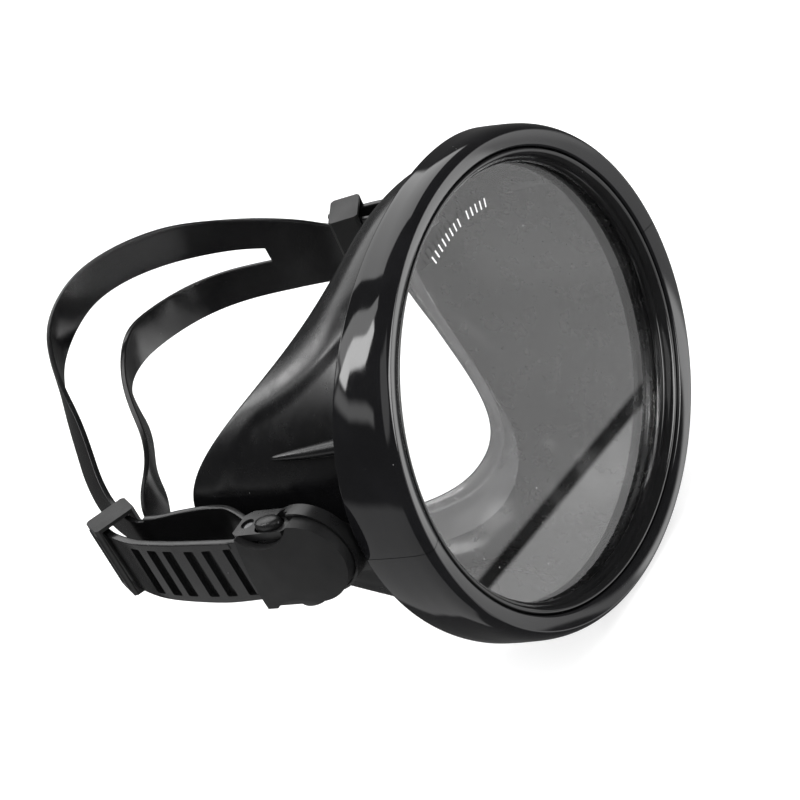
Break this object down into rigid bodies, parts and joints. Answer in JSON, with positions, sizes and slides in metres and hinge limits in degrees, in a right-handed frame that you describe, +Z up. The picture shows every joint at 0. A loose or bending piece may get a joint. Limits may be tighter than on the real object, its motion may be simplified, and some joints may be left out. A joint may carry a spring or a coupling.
{
  "type": "diving mask",
  "caption": "Round single-lens diving mask with a black oval frame, clear tempered lens, sealing skirt, swivelling side buckles and a split rubber head strap.",
  "frame": {"origin": "centre of the plane of the frame's front crest, on the lens axis", "axes": "the lens faces -Y and the wearer's face is towards +Y; +Z is up as worn; +X is on the viewer's right when facing the lens"},
  "size_m": [0.183, 0.1706, 0.1548],
  "materials": {
    "frame": "polished black nylon",
    "lens": "clear tempered glass",
    "skirt": "satin black silicone",
    "strap": "satin black silicone",
    "buckle": "fine-grained black nylon",
    "cover": "matte textured black nylon",
    "button": "semi-matte black nylon",
    "keeper": "satin black nylon",
    "steel": "stainless, machined"
  },
  "bodies": {
    "mask": {"frame_upper": "frame", "frame_lower": "frame", "lens_glass": "lens", "skirt": "skirt", "frame_screws": "steel", "bracket_left": "buckle", "bracket_right": "buckle", "swivel_pin_left": "steel", "swivel_pin_right": "steel"},
    "buckle_left": {"buckle_body_left": "buckle", "buckle_cover_left": "cover", "roller_axle_left": "steel", "strap": "strap"},
    "buckle_right": {"buckle_body_right": "buckle", "buckle_cover_right": "cover", "roller_axle_right": "steel"},
    "roller_left": {"roller_left": "buckle"},
    "button_upper_left": {"button_upper_left": "button"},
    "button_lower_left": {"button_lower_left": "button"},
    "roller_right": {"roller_right": "buckle"},
    "button_upper_right": {"button_upper_right": "button"},
    "button_lower_right": {"button_lower_right": "button"},
    "keeper_left": {"keeper_left": "keeper"},
    "keeper_right": {"keeper_right": "keeper"}
  },
  "joints": [
    {"name": "buckle_left_swivel", "type": "hinge", "parent": "mask", "child": "buckle_left", "pos_m": [-0.081, 0.0405, 0.0035], "axis": [1, 0, 0], "range_deg": [-12, 12]},
    {"name": "buckle_right_swivel", "type": "hinge", "parent": "mask", "child": "buckle_right", "pos_m": [0.081, 0.0405, 0.0035], "axis": [1, 0, 0], "range_deg": [-12, 12]},
    {"name": "roller_left_spin", "type": "hinge", "parent": "buckle_left", "child": "roller_left", "pos_m": [-0.0825, 0.0595, 0.00317], "axis": [0, 0.0175, 0.9998], "continuous": true},
    {"name": "roller_right_spin", "type": "hinge", "parent": "buckle_right", "child": "roller_right", "pos_m": [0.0825, 0.05941, 0.00532], "axis": [0, -0.0958, 0.9954], "continuous": true},
    {"name": "button_upper_left_press", "type": "slide", "parent": "buckle_left", "child": "button_upper_left", "axis": [0, -0.0175, -0.9998], "range_m": [0, 0.002], "stiffness_N_per_m": 400, "springref_m": -0.001},
    {"name": "button_lower_left_press", "type": "slide", "parent": "buckle_left", "child": "button_lower_left", "axis": [0, 0.0175, 0.9998], "range_m": [0, 0.002], "stiffness_N_per_m": 400, "springref_m": -0.001},
    {"name": "button_upper_right_press", "type": "slide", "parent": "buckle_right", "child": "button_upper_right", "axis": [0, 0.0958, -0.9954], "range_m": [0, 0.002], "stiffness_N_per_m": 400, "springref_m": -0.001},
    {"name": "button_lower_right_press", "type": "slide", "parent": "buckle_right", "child": "button_lower_right", "axis": [0, -0.0958, 0.9954], "range_m": [0, 0.002], "stiffness_N_per_m": 400, "springref_m": -0.001},
    {"name": "keeper_left_slide", "type": "slide", "parent": "buckle_left", "child": "keeper_left", "axis": [0.5736, 0.819, -0.0143], "range_m": [-0.002, 0.0005]},
    {"name": "keeper_right_slide", "type": "slide", "parent": "buckle_left", "child": "keeper_right", "axis": [-0.4226, 0.9021, 0.0869], "range_m": [-0.001, 0.0015]}
  ],
  "couplings": [
    {"joint": "buckle_right_swivel", "follows": "buckle_left_swivel", "ratio": 1}
  ]
}
